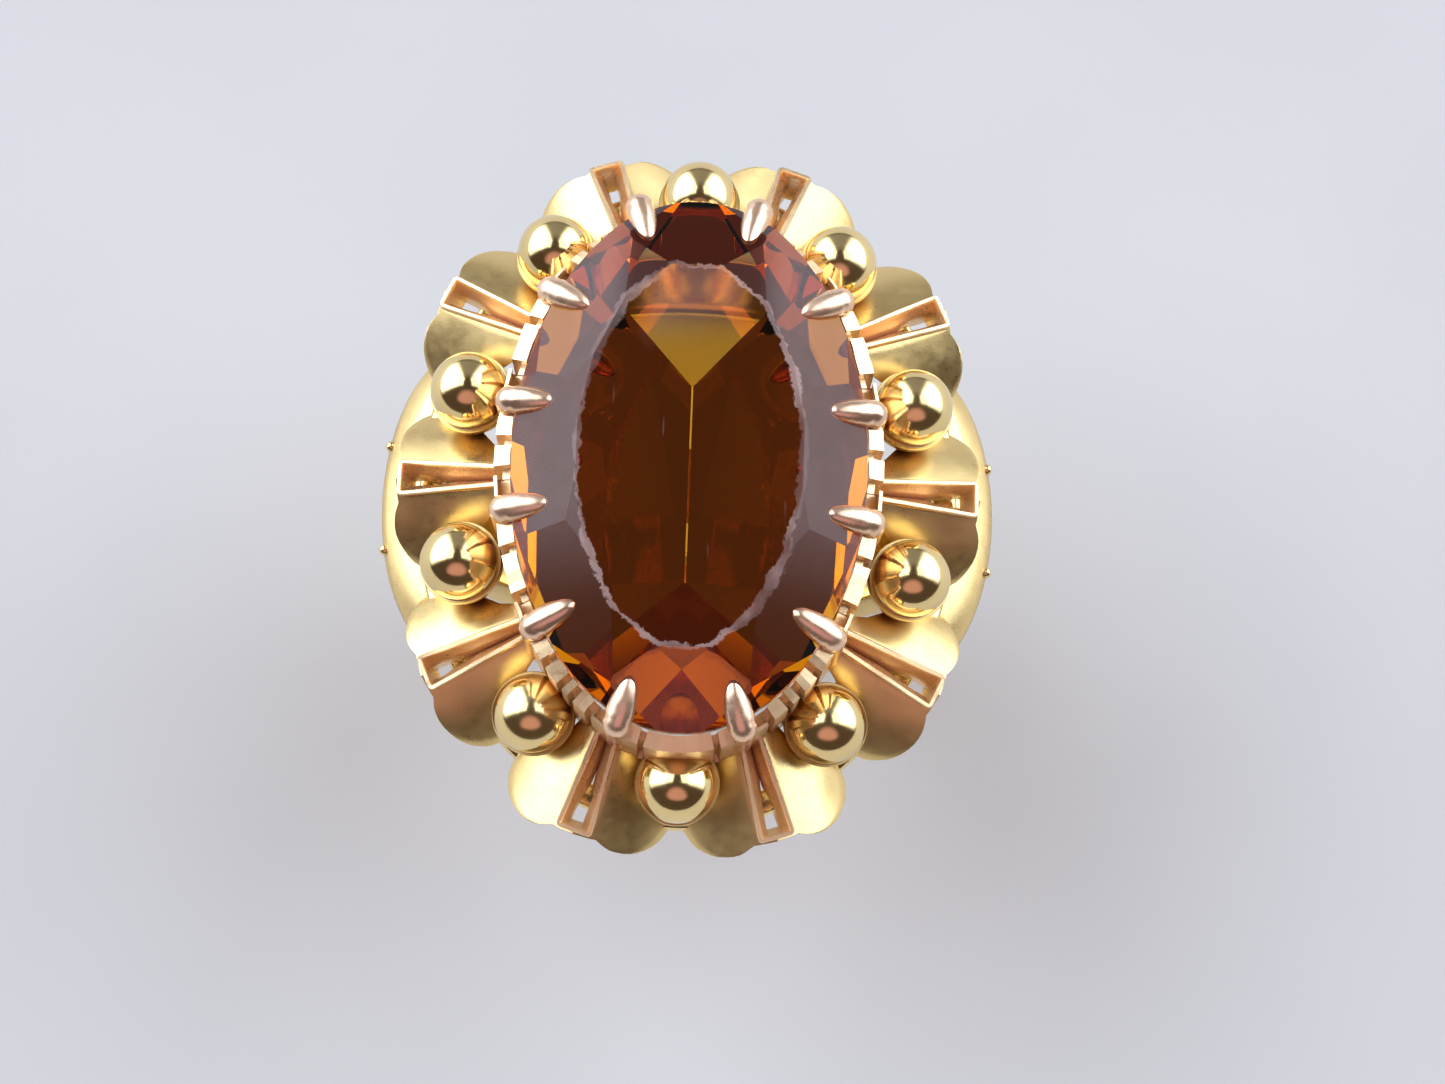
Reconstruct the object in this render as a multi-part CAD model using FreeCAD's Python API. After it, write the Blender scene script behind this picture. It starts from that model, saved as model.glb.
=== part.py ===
import FreeCAD, Part
import math
import os
from FreeCAD import Placement, Rotation, Vector

# Cocktail ring: a large oval stone in a claw collet, ringed by ten folded petals with
# tapered channels on their ridges and ten beads in small dishes, on a hoop, two wide
# shoulders and a plain shank. Millimetres. The origin is the centre of the finger hole,
# +Y runs along the finger and +Z points up at the stone.

# Driving dimensions
BORE_RADIUS = 8.75
SHANK_WALL = 1.3
SHANK_WIDTH = 3.0
RECESS_HALF = 1.0        # half length of the hollow that the band has under the stone's keel
KEEL_CLEARANCE = 0.3

GIRDLE_Z = 16.0
GIRDLE_HALF = (6.5, 10.0)
GIRDLE_THICKNESS = 0.4
TABLE_HALF = (4.1, 7.1)
CROWN_HEIGHT = 1.3
PAVILION_DEPTH = 6.17
KEEL_HALF = 3.8
KEEL_WEAR = 0.03
GIRDLE_STEPS = 48
CROWN_MAINS = (0, 25.6, 90)
CROWN_STARS = (11, 50)
STAR_SLOPE = 15
CROWN_BREAKS = (6, 17, 38, 70)
BREAK_SLOPE = 40
# direction, slope, and the end of the stone that has the facet: 1 for +Y, -1 for -Y
UNDER_FACETS = ((72, 52, 1), (64, 56, -1), (14, 60, -1))

CLAW_HEEL = (6.9, 10.35)
CLAW_RADIUS = 0.4
CLAW_NOSE = 1.9
CLAW_RISE = 25.0
CLAW_PLACES = ((11.5, 5.0), (38.0, 28.0), (71.0, 75.0))    # place on the oval, direction of the nose

COLLET_OUTER = (7.15, 10.65)
GALLERY_Z = (11.3, 16.1)
GALLERY_WALL = 0.57
LEDGE_WALL = 1.2
LEDGE_DROP = 1.0
NOTCH_COUNT = 44
NOTCH_SIZE = (0.55, 0.7)
LOWER_RAIL_Z = (10.4, 11.3)
LOWER_RAIL_WALL = 0.7
LOWER_RAIL_INSET = 0.1

PETAL_SHEET = 0.35
PETAL_LENGTH = 4.15
PETAL_FALL = 26.0
PETAL_SLOPE = 14.0
PETAL_TOP_Z = 12.85
PETAL_ROOTS = (((7.1, 0.0), 0.0), ((6.05, 5.85), 25.0), ((2.55, 9.4), 72.0))    # root, direction
WING_REACH = 4.0
ROOT_START = -0.6        # petals and channels begin this far inside their root
TIP_NOTCH = 1.0
LOBE_CENTRE = (3.0, 1.75)
LOBE_RADIUS = 1.45
ROOT_HALF = 0.9

CHANNEL_LENGTH = 4.1
CHANNEL_INNER_HALF = 0.43
CHANNEL_OUTER_HALF = 0.72
CHANNEL_WALL = 0.22
CHANNEL_PROUD = 0.15
CHANNEL_DEPTH = 1.5
CHANNEL_FOOT = 0.6

BEAD_RADIUS = 1.47
BEAD_HALF = (8.9, 11.4)
BEAD_Z = 12.75
BEAD_ANGLES = (17.0, 52.0, 90.0, 128.0, 163.0)

DISH_RADIUS = 1.6
DISH_WALL = 0.2
DISH_INSET = 0.06
DISH_DROP = 0.4
DISH_LEAN = 8.0
DISH_RIM = 0.16

HOOP_OUTER = (10.5, 12.85)
HOOP_WIDTH = 1.0
HOOP_Z = (9.4, 10.3)

SHOULDER_REACH = 12.1
SHOULDER_TOP_HALF = 6.2
SHOULDER_START = -3.0
SHOULDER_RIM = 1.0       # width of the flat rim under the hoop
GRANULE_RADIUS = 0.27
GRANULE_PLACE = (12.05, 2.1)
GRANULE_DROP = 0.9

FULL = 60.0              # longer than the ring, for cutting tools
CLEAR = 0.01             # how far a cutting tool runs past a face


def ellipsePoint(half, degrees, z=0.0):
    angle = math.radians(degrees)
    return Vector(half[0] * math.cos(angle), half[1] * math.sin(angle), z)


def ellipsePrism(half, bottom, top):
    # Part.Ellipse needs its larger radius first, so the oval is drawn along X and turned
    oval = Part.Ellipse(Vector(0, 0, 0), half[1], half[0])
    face = Part.Face(Part.Wire(oval.toShape()))
    face.rotate(Vector(0, 0, 0), Vector(0, 0, 1), 90)
    face.translate(Vector(0, 0, bottom))
    return face.extrude(Vector(0, 0, top - bottom))


def ellipseRing(half, wall, bottom, top):
    inner = (half[0] - wall, half[1] - wall)
    return ellipsePrism(half, bottom, top).cut(ellipsePrism(inner, bottom - 1, top + 1))


def prism(points, direction):
    wire = Part.makePolygon(points + [points[0]])
    return Part.Face(wire).extrude(direction)


def makeBall(radius, centre):
    # the ball's poles and seam are turned out of the ring's own planes, where other faces cross it
    return Part.makeSphere(radius, centre, Vector(0.3, 0.5, 0.8))


def cutBeyond(solid, normal, reach):
    # keeps the part of the solid where its points dotted with the unit normal stay under reach
    side = Part.makeBox(FULL, FULL, FULL)
    side.translate(Vector(-FULL / 2, -FULL / 2, 0))
    side.Placement = Placement(normal * reach, Rotation(Vector(0, 0, 1), normal)) * side.Placement
    return solid.cut(side)


def support(half, degrees):
    # distance of an ellipse's tangent line from its centre, for a given outward direction
    angle = math.radians(degrees)
    return math.hypot(half[0] * math.cos(angle), half[1] * math.sin(angle))


def facet(solid, degrees, slope, distance, z):
    # cuts a plane that leans inwards by slope and lies at distance from the axis at height z
    lean = math.radians(slope)
    angle = math.radians(degrees)
    flat = math.sin(lean)
    normal = Vector(flat * math.cos(angle), flat * math.sin(angle), math.cos(lean))
    return cutBeyond(solid, normal, flat * distance + math.cos(lean) * z)


def underFacet(solid, degrees, slope, distance, z):
    lean = math.radians(slope)
    angle = math.radians(degrees)
    flat = math.sin(lean)
    normal = Vector(flat * math.cos(angle), flat * math.sin(angle), -math.cos(lean))
    return cutBeyond(solid, normal, flat * distance - math.cos(lean) * z)


def mirrored(degrees):
    # the same direction in all four quarters, without repeats on the axes
    return sorted({degrees % 360, (180 - degrees) % 360, (180 + degrees) % 360, (-degrees) % 360})


def makeStone():
    # an oval cushion of planes: a low crown with a wide table, and a pavilion that ends in a keel
    top = GIRDLE_THICKNESS / 2
    crown = top + CROWN_HEIGHT
    keel = -top - PAVILION_DEPTH
    width = 2 * GIRDLE_HALF[0] + 1
    length = 2 * GIRDLE_HALF[1] + 1
    lowest = Vector(-width / 2, -length / 2, keel + KEEL_WEAR)
    body = Part.makeBox(width, length, crown - lowest.z, lowest)
    for step in range(GIRDLE_STEPS):
        angle = 360.0 * step / GIRDLE_STEPS
        outward = Vector(math.cos(math.radians(angle)), math.sin(math.radians(angle)), 0)
        body = cutBeyond(body, outward, support(GIRDLE_HALF, angle))
    for base in CROWN_MAINS:
        for angle in mirrored(base):
            outer = support(GIRDLE_HALF, angle)
            slope = math.degrees(math.atan2(CROWN_HEIGHT, outer - support(TABLE_HALF, angle)))
            body = facet(body, angle, slope, outer, top)
    for base in CROWN_STARS:
        for angle in mirrored(base):
            body = facet(body, angle, STAR_SLOPE, support(TABLE_HALF, angle), crown)
    for base in CROWN_BREAKS:
        for angle in mirrored(base):
            body = facet(body, angle, BREAK_SLOPE, support(GIRDLE_HALF, angle), top)
    sideSlope = math.degrees(math.atan2(PAVILION_DEPTH, GIRDLE_HALF[0]))
    endSlope = math.degrees(math.atan2(PAVILION_DEPTH, GIRDLE_HALF[1] - KEEL_HALF))
    for angle, slope in ((0, sideSlope), (180, sideSlope), (90, endSlope), (270, endSlope)):
        body = underFacet(body, angle, slope, support(GIRDLE_HALF, angle), -top)
    for base, slope, end in UNDER_FACETS:
        for angle in mirrored(base):
            if end * math.sin(math.radians(angle)) > 0:
                body = underFacet(body, angle, slope, support(GIRDLE_HALF, angle), -top)
    body.translate(Vector(0, 0, GIRDLE_Z))
    return body


def makeClaw(place, direction, stone):
    heel = ellipsePoint(CLAW_HEEL, place)
    foot = Vector(heel.x, heel.y, LOWER_RAIL_Z[0])
    bend = Vector(heel.x, heel.y, GIRDLE_Z + GIRDLE_THICKNESS)
    stem = Part.makeCylinder(CLAW_RADIUS, bend.z - foot.z, foot)
    knuckle = Part.makeSphere(CLAW_RADIUS, bend)
    lean = math.radians(CLAW_RISE)
    turn = math.radians(direction)
    inward = Vector(-math.cos(turn) * math.cos(lean), -math.sin(turn) * math.cos(lean), math.sin(lean))
    nose = Part.makeCone(CLAW_RADIUS, CLAW_RADIUS / 5, CLAW_NOSE, bend, inward)
    return stem.fuse([knuckle, nose]).removeSplitter().cut(stone)


def clawPlaces():
    for place, direction in CLAW_PLACES:
        yield place, direction
        yield 180 - place, 180 - direction
        yield 180 + place, 180 + direction
        yield -place, -direction


def makeGallery(stone, claws):
    # the upper rail of the collet: the stone's edge sits in it, and notches open its rim
    bottom, top = GALLERY_Z
    band = ellipseRing(COLLET_OUTER, GALLERY_WALL, bottom, top)
    ledge = ellipseRing(COLLET_OUTER, LEDGE_WALL, bottom, GIRDLE_Z - LEDGE_DROP)
    band = band.fuse(ledge).removeSplitter()
    width, depth = NOTCH_SIZE
    notches = []
    for number in range(NOTCH_COUNT):
        angle = 360.0 * (number + 0.5) / NOTCH_COUNT
        point = ellipsePoint(COLLET_OUTER, angle, top - depth)
        outward = math.degrees(math.atan2(point.y / COLLET_OUTER[1] ** 2, point.x / COLLET_OUTER[0] ** 2))
        notch = Part.makeBox(2 * LEDGE_WALL, width, 2 * depth, Vector(-LEDGE_WALL, -width / 2, 0))
        notch.rotate(Vector(0, 0, 0), Vector(0, 0, 1), outward)
        notch.translate(point)
        notches.append(notch)
    return band.cut(notches).cut([stone] + claws)


def makeLowerRail(claws):
    half = (COLLET_OUTER[0] - LOWER_RAIL_INSET, COLLET_OUTER[1] - LOWER_RAIL_INSET)
    return ellipseRing(half, LOWER_RAIL_WALL, *LOWER_RAIL_Z).cut(claws)


def petalPlacement(root, direction):
    # local X runs out along the ridge, and the ridge falls outwards by the petal's slope
    turn = Rotation(Vector(0, 0, 1), direction) * Rotation(Vector(0, 1, 0), PETAL_SLOPE)
    return Placement(Vector(root[0], root[1], PETAL_TOP_Z), turn)


def petalPlaces():
    for root, direction in PETAL_ROOTS:
        for flipX, flipY in ((1, 1), (-1, 1), (-1, -1), (1, -1)):
            if direction == 0 and flipY == -1:
                continue
            turned = direction if flipX == 1 else 180 - direction
            yield (root[0] * flipX, root[1] * flipY), turned * flipY


def makePetal(placement):
    # a folded sheet: two wings that fall away from the ridge, cut to a lobe on each side
    reach = WING_REACH
    fall = reach * math.tan(math.radians(PETAL_FALL))
    thick = PETAL_SHEET / math.cos(math.radians(PETAL_FALL))
    start = ROOT_START - CLEAR
    roof = prism([
        Vector(start, -reach, -fall), Vector(start, 0, 0), Vector(start, reach, -fall),
        Vector(start, reach, -fall - thick), Vector(start, 0, -thick), Vector(start, -reach, -fall - thick),
    ], Vector(PETAL_LENGTH - start + LOBE_RADIUS, 0, 0))
    along, aside = LOBE_CENTRE
    corner = LOBE_RADIUS * math.sqrt(0.5)
    deep = -reach
    outline = prism([
        Vector(ROOT_START, -ROOT_HALF, deep), Vector(along - corner, -aside - corner, deep),
        Vector(along, -aside, deep), Vector(PETAL_LENGTH, TIP_NOTCH - aside, deep),
        Vector(PETAL_LENGTH, aside - TIP_NOTCH, deep), Vector(along, aside, deep),
        Vector(along - corner, aside + corner, deep), Vector(ROOT_START, ROOT_HALF, deep),
    ], Vector(0, 0, reach + 1))
    lobes = [Part.makeCylinder(LOBE_RADIUS, reach + 1, Vector(along, side * aside, deep)) for side in (-1, 1)]
    petal = roof.common(outline.fuse(lobes))
    petal.Placement = placement
    return petal


def taperedBlock(grow, top, bottom):
    # a block that is wide outside and narrow inside, and narrower at its foot than at its rim
    def outline(z, narrow):
        inner = (CHANNEL_INNER_HALF + grow) * narrow
        outer = (CHANNEL_OUTER_HALF + grow) * narrow
        start = ROOT_START - grow
        end = CHANNEL_LENGTH + grow
        points = [(start, -inner), (end, -outer), (end, outer), (start, inner), (start, -inner)]
        return Part.makePolygon([Vector(x, y, z) for x, y in points])
    return Part.makeLoft([outline(bottom, CHANNEL_FOOT), outline(top, 1.0)], True, True)


def makeChannel(placement):
    # a strip bent into a long open frame, rim up, set into the ridge of its petal
    block = taperedBlock(0, CHANNEL_PROUD, -CHANNEL_DEPTH)
    hollow = taperedBlock(-CHANNEL_WALL, CHANNEL_PROUD + CLEAR, -CHANNEL_DEPTH - CLEAR)
    channel = block.cut(hollow)
    channel.Placement = placement
    block.Placement = placement
    return channel, block


def beadPlaces():
    for angle in BEAD_ANGLES:
        yield ellipsePoint(BEAD_HALF, angle, BEAD_Z)
        yield ellipsePoint(BEAD_HALF, -angle, BEAD_Z)


def makeDish(bead):
    # a close bowl that leans outwards a little, its wall cut to a seat by the bead
    outward = Vector(bead.x, bead.y * (BEAD_HALF[0] / BEAD_HALF[1]) ** 2, 0).normalize()
    centre = bead - outward * DISH_INSET - Vector(0, 0, DISH_DROP)
    wide = DISH_RADIUS
    thin = DISH_WALL
    outside = [
        Vector(0, 0, -wide), Vector(0.6 * wide, 0, -0.8 * wide),
        Vector(wide, 0, 0), Vector(wide, 0, DISH_RIM),
    ]
    inside = [
        Vector(wide - thin, 0, DISH_RIM), Vector(wide - thin, 0, 0),
        Vector(0.6 * (wide - thin), 0, -0.8 * (wide - thin)), Vector(0, 0, thin - wide),
    ]
    axis = (Vector(0, 0, 0), Vector(0, 0, 1), 360)
    bowl = Part.Face(Part.makePolygon(outside + inside + [outside[0]])).revolve(*axis)
    block = Part.Face(Part.makePolygon(outside + [Vector(0, 0, DISH_RIM), outside[0]])).revolve(*axis)
    lean = Rotation(Vector(0, 0, 1).cross(outward), DISH_LEAN) * Rotation(Vector(0, 0, 1), 33)
    place = Placement(centre, lean)
    bowl.Placement = place
    block.Placement = place
    return bowl, block


def makeHoop():
    return ellipseRing(HOOP_OUTER, HOOP_WIDTH, *HOOP_Z)


def makeShank(keelZ):
    # a plain band, hollowed on top where the stone's keel comes down to it
    along = Vector(0, 1, 0)
    start = Vector(0, -SHANK_WIDTH / 2, 0)
    outer = Part.makeCylinder(BORE_RADIUS + SHANK_WALL, SHANK_WIDTH, start, along)
    bore = Part.makeCylinder(BORE_RADIUS, SHANK_WIDTH + 2 * CLEAR, start - along * CLEAR, along)
    corner = Vector(-RECESS_HALF, -SHANK_WIDTH, keelZ - KEEL_CLEARANCE)
    recess = Part.makeBox(2 * RECESS_HALF, 2 * SHANK_WIDTH, SHANK_WALL, corner)
    return outer.cut([bore, recess])


def makeShoulder(side):
    # a strip that leaves the shank low down, leans outwards and widens up to the hoop
    band = BORE_RADIUS + SHANK_WALL
    start = SHOULDER_START
    top = HOOP_Z[0]
    rim = Vector(SHOULDER_REACH - SHOULDER_RIM, 0, top)
    outer = Part.Arc(
        Vector(math.sqrt(band ** 2 - start ** 2), 0, start),
        Vector(SHOULDER_REACH - 0.6, 0, top / 2),
        Vector(SHOULDER_REACH, 0, top - 1.2),
    )
    inner = Part.Arc(
        Vector(SHOULDER_REACH - 2.6, 0, top),
        Vector(SHOULDER_REACH - 2.5, 0, top / 2 + 1.2),
        Vector(BORE_RADIUS - 0.4, 0, 3.5),
    )
    edges = [
        outer,
        Part.LineSegment(outer.EndPoint, rim),
        Part.LineSegment(rim, inner.StartPoint),
        inner,
        Part.LineSegment(inner.EndPoint, outer.StartPoint),
    ]
    face = Part.Face(Part.Wire([edge.toShape() for edge in edges]))
    face.translate(Vector(0, -SHOULDER_TOP_HALF, 0))
    strip = face.extrude(Vector(0, 2 * SHOULDER_TOP_HALF, 0))
    foot = SHANK_WIDTH / 2
    belly = Vector(0, foot + 1.3, top * 0.4)
    flank = Part.Arc(Vector(0, foot, start), belly, Vector(0, SHOULDER_TOP_HALF, top))
    mirror = Part.Arc(
        Vector(0, -SHOULDER_TOP_HALF, top), Vector(0, -belly.y, belly.z), Vector(0, -foot, start),
    )
    sides = [
        flank,
        Part.LineSegment(flank.EndPoint, mirror.StartPoint),
        mirror,
        Part.LineSegment(mirror.EndPoint, flank.StartPoint),
    ]
    taper = Part.Face(Part.Wire([item.toShape() for item in sides])).extrude(Vector(FULL, 0, 0))
    plan = Part.makeCylinder(SHOULDER_REACH, FULL, Vector(0, 0, -FULL / 2))
    drum = Part.makeCylinder(band, FULL, Vector(0, -FULL / 2, 0), Vector(0, 1, 0))
    shoulder = strip.common(taper).common(plan).cut(drum)
    if side < 0:
        shoulder = shoulder.mirror(Vector(0, 0, 0), Vector(1, 0, 0))
    return shoulder


def makeGranules():
    grains = []
    for flipX in (-1, 1):
        for flipY in (-1, 1):
            centre = Vector(flipX * GRANULE_PLACE[0], flipY * GRANULE_PLACE[1], HOOP_Z[0] - GRANULE_DROP)
            grains.append(makeBall(GRANULE_RADIUS, centre))
    return grains


def nearby(shape, others):
    return [other for other in others if shape.BoundBox.intersect(other.BoundBox)]


def export(name, shape):
    solids = shape.Solids
    print(name, len(solids), round(shape.Volume, 3), shape.isValid())
    shape.exportStep(os.path.join("parts", name + ".step"))


def main():
    os.makedirs("parts", exist_ok=True)
    stone = makeStone()
    export("stone", stone)
    claws = [makeClaw(place, direction, stone) for place, direction in clawPlaces()]
    for number, claw in enumerate(claws, 1):
        export(f"claw_{number:02d}", claw)
    export("gallery_rail", makeGallery(stone, claws))
    export("lower_collet_rail", makeLowerRail(claws))
    hoop = makeHoop()
    export("base_hoop", hoop)

    collet = ellipsePrism(COLLET_OUTER, HOOP_Z[0], GALLERY_Z[1])
    centre = [collet] + claws
    beads = list(beadPlaces())
    spheres = [makeBall(BEAD_RADIUS, bead) for bead in beads]
    blocks = []
    for number, (bead, sphere) in enumerate(zip(beads, spheres), 1):
        bowl, block = makeDish(bead)
        blocks.append(block)
        export(f"bead_{number:02d}", sphere)
        export(f"bead_dish_{number:02d}", bowl.cut(nearby(bowl, [sphere, hoop] + centre)))
    for number, (root, direction) in enumerate(petalPlaces(), 1):
        placement = petalPlacement(root, direction)
        channel, trough = makeChannel(placement)
        petal = makePetal(placement)
        around = centre + blocks + spheres + [hoop]
        export(f"petal_channel_{number:02d}", channel.cut(nearby(channel, around)))
        export(f"petal_{number:02d}", petal.cut(nearby(petal, around + [trough])))

    export("shank", makeShank(stone.BoundBox.ZMin))
    shoulders = {"shoulder_right": makeShoulder(1), "shoulder_left": makeShoulder(-1)}
    for name, shoulder in shoulders.items():
        export(name, shoulder)
    grains = [grain.cut(list(shoulders.values())) for grain in makeGranules()]
    export("shoulder_granules", Part.makeCompound(grains))


main()
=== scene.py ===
import math

import bmesh
import bpy
from mathutils import Matrix, Vector, noise


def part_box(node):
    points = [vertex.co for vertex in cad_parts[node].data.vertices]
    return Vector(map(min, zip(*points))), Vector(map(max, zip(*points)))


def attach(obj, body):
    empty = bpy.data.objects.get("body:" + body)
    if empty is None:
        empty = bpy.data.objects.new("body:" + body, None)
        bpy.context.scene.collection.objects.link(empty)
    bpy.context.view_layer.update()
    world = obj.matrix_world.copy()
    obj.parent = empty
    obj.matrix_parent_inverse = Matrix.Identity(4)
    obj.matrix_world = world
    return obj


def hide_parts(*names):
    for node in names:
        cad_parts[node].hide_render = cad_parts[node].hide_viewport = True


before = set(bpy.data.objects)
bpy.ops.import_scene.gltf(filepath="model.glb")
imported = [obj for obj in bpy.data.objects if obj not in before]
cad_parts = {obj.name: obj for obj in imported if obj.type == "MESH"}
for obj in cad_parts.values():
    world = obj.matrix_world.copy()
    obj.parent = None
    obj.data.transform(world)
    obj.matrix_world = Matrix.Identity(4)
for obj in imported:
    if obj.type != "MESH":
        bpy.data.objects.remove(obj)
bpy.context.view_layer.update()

# every mesh below is drawn in millimetres, and scaled to metres as it is made
mm = 0.001
weld = 1e-7    # points nearer to each other than this, in metres, become one
pi = math.pi
noise.seed_set(7)    # the same waves at every run
upright = Vector((0, 0, 1))


def deg(angle):
    return math.radians(angle)


def inMetres(span):
    return [v * mm for v in span]


def smoothStep(low, high, x):
    t = min(max((x - low) / (high - low), 0.0), 1.0)
    return t * t * (3 - 2 * t)


def mix(a, b, t):
    return a + (b - a) * t


def onOval(half, angle, z=0.0):
    return Vector((half[0] * math.cos(angle), half[1] * math.sin(angle), z))


def ovalNormal(half, angle):
    return Vector((math.cos(angle) / half[0], math.sin(angle) / half[1], 0)).normalized()


def addPiece(name, points, faces, material, sharp, nodes):
    # sharp is the angle in degrees past which an edge stays crisp
    mesh = bpy.data.meshes.new(name)
    mesh.from_pydata([tuple(Vector(p) * mm) for p in points], [], faces)
    bm = bmesh.new()
    bm.from_mesh(mesh)
    bmesh.ops.remove_doubles(bm, verts=bm.verts, dist=weld)
    bmesh.ops.recalc_face_normals(bm, faces=bm.faces)
    bm.to_mesh(mesh)
    bm.free()
    piece = bpy.data.objects.new(name, mesh)
    bpy.context.scene.collection.objects.link(piece)
    mesh.shade_smooth()
    mesh.set_sharp_from_angle(angle=deg(sharp))
    mesh.materials.append(material)
    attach(piece, "root")
    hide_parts(*nodes)
    return piece


def gridFaces(rows, columns, closeRows=False, closeColumns=False, start=0):
    # quads over a grid of points that was written row by row
    faces = []
    for i in range(rows if closeRows else rows - 1):
        for j in range(columns if closeColumns else columns - 1):
            a = start + i * columns + j
            b = start + i * columns + (j + 1) % columns
            c = start + ((i + 1) % rows) * columns + (j + 1) % columns
            d = start + ((i + 1) % rows) * columns + j
            faces.append((a, b, c, d))
    return faces


def loft(rings, joined=False):
    # closed rings with the same number of points, each joined to the next;
    # the last is joined to the first, or else both ends get a flat lid
    count = len(rings[0])
    points = [p for ring in rings for p in ring]
    faces = gridFaces(len(rings), count, closeRows=joined, closeColumns=True)
    if not joined:
        faces.append(tuple(reversed(range(count))))
        faces.append(tuple(range((len(rings) - 1) * count, len(rings) * count)))
    return points, faces


def arc(radius, start, stop, steps):
    # (radius, height) pairs along part of a ball, from one angle to the other
    angles = [mix(start, stop, k / steps) for k in range(steps + 1)]
    return [(radius * math.cos(a), radius * math.sin(a)) for a in angles]


def lathe(profile, steps):
    # turns (radius, height) pairs about Z; the points that meet on the axis are welded later
    points = []
    for r, z in profile:
        for k in range(steps):
            a = 2 * pi * k / steps
            points.append(Vector((r * math.cos(a), r * math.sin(a), z)))
    return points, gridFaces(len(profile), steps, closeColumns=True)


# a node socket that takes Python's operators
class Sock:
    def __init__(self, tree, socket):
        self.tree = tree
        self.socket = socket

    def maths(self, operation, *others):
        return self.tree.node("ShaderNodeMath", {"operation": operation}, [self, *others])

    def __add__(self, other):
        return self.maths("ADD", other)

    def __radd__(self, other):
        return self.maths("ADD", other)

    def __sub__(self, other):
        return self.maths("SUBTRACT", other)

    def __rsub__(self, other):
        return self.tree.node("ShaderNodeMath", {"operation": "SUBTRACT"}, [other, self])

    def __mul__(self, other):
        return self.maths("MULTIPLY", other)

    def __rmul__(self, other):
        return self.maths("MULTIPLY", other)

    def __truediv__(self, other):
        return self.maths("DIVIDE", other)


# the nodes of a material or a world, emptied first
class Tree:
    def __init__(self, owner):
        self.owner = owner
        owner.use_nodes = True
        self.nodes = owner.node_tree.nodes
        self.links = owner.node_tree.links
        self.nodes.clear()

    def node(self, kind, settings=None, inputs=(), output=0):
        made = self.nodes.new(kind)
        for key, value in (settings or {}).items():
            setattr(made, key, value)
        pairs = inputs.items() if isinstance(inputs, dict) else enumerate(inputs)
        for key, value in pairs:
            if isinstance(value, Sock):
                self.links.new(value.socket, made.inputs[key])
            else:
                made.inputs[key].default_value = value
        if output is None:
            return made
        return Sock(self, made.outputs[output])

    def place(self):
        return self.node("ShaderNodeTexCoord", output="Object")

    def axes(self, vector):
        split = self.node("ShaderNodeSeparateXYZ", None, [vector], None)
        return [Sock(self, split.outputs[k]) for k in range(3)]

    def scaled(self, vector, x, y, z):
        return self.node("ShaderNodeMapping", None, {"Vector": vector, "Scale": (x, y, z)})

    def grain(self, vector, scale, detail, rough=0.55):
        return self.node("ShaderNodeTexNoise", None, {
            "Vector": vector, "Scale": scale, "Detail": detail, "Roughness": rough}, "Fac")

    def step(self, value, low, high, outLow=0.0, outHigh=1.0):
        return self.node("ShaderNodeMapRange", {"interpolation_type": "SMOOTHSTEP"}, {
            "Value": value, "From Min": low, "From Max": high, "To Min": outLow, "To Max": outHigh})

    def blend(self, factor, a, b):
        # sockets 6 and 7 are the colours, and output 2 is the mixed colour
        return self.node("ShaderNodeMix", {"data_type": "RGBA"},
                         {0: factor, 6: (*a, 1) if isinstance(a, tuple) else a, 7: (*b, 1)}, 2)

    def bump(self, height, strength, distance):
        return self.node("ShaderNodeBump", None, {
            "Strength": strength, "Distance": distance, "Height": height})

    def finish(self, shader, volume=None):
        out = self.node("ShaderNodeOutputMaterial", None, {"Surface": shader}, None)
        if volume is not None:
            self.links.new(volume.socket, out.inputs["Volume"])
        return self.owner


# colour is the gold's own; the other colour is painted shade, laid where ambient occlusion finds a
# hollow; rough runs from rubbed to dull, shade is how far in mm a hollow reaches, and body is how
# much light the metal scatters
goldLook = dict(
    polished=dict(colour=(0.93, 0.71, 0.32), deep=(0.60, 0.32, 0.08), rough=(0.09, 0.17),
                  scratch=0.10, shade=0.9, hollow=0.10, body=0.0),
    satin=dict(colour=(0.87, 0.64, 0.27), deep=(0.46, 0.25, 0.07), rough=(0.25, 0.38),
               scratch=0.24, shade=0.9, hollow=0.12, body=0.0),
    warm=dict(colour=(0.96, 0.68, 0.38), deep=(0.74, 0.42, 0.22), rough=(0.22, 0.40),
              scratch=0.35, shade=0.30, hollow=0.34, body=0.30),
    claw=dict(colour=(0.96, 0.65, 0.43), deep=(0.45, 0.22, 0.16), rough=(0.20, 0.34),
              scratch=0.16, shade=0.5, hollow=0.10, body=0.16),
)

# how fine each pattern is, then the two values between which it fades in, then how much of it shows
goldWear = dict(
    cloud=260, fine=2600, brushed=3600, hairs=5200,
    # the first range below is where ambient occlusion fades from painted shade in the hollows to the
    # gold's own colour
    unshaded=(0.12, 0.70), pale=(0.48, 0.72), dull=(0.46, 0.30), rub=(0.32, 0.68), hair=(0.66, 0.72),
    paleShare=0.7, dullShare=0.45, hairDepth=0.1, relief=0.02,
)


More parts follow.
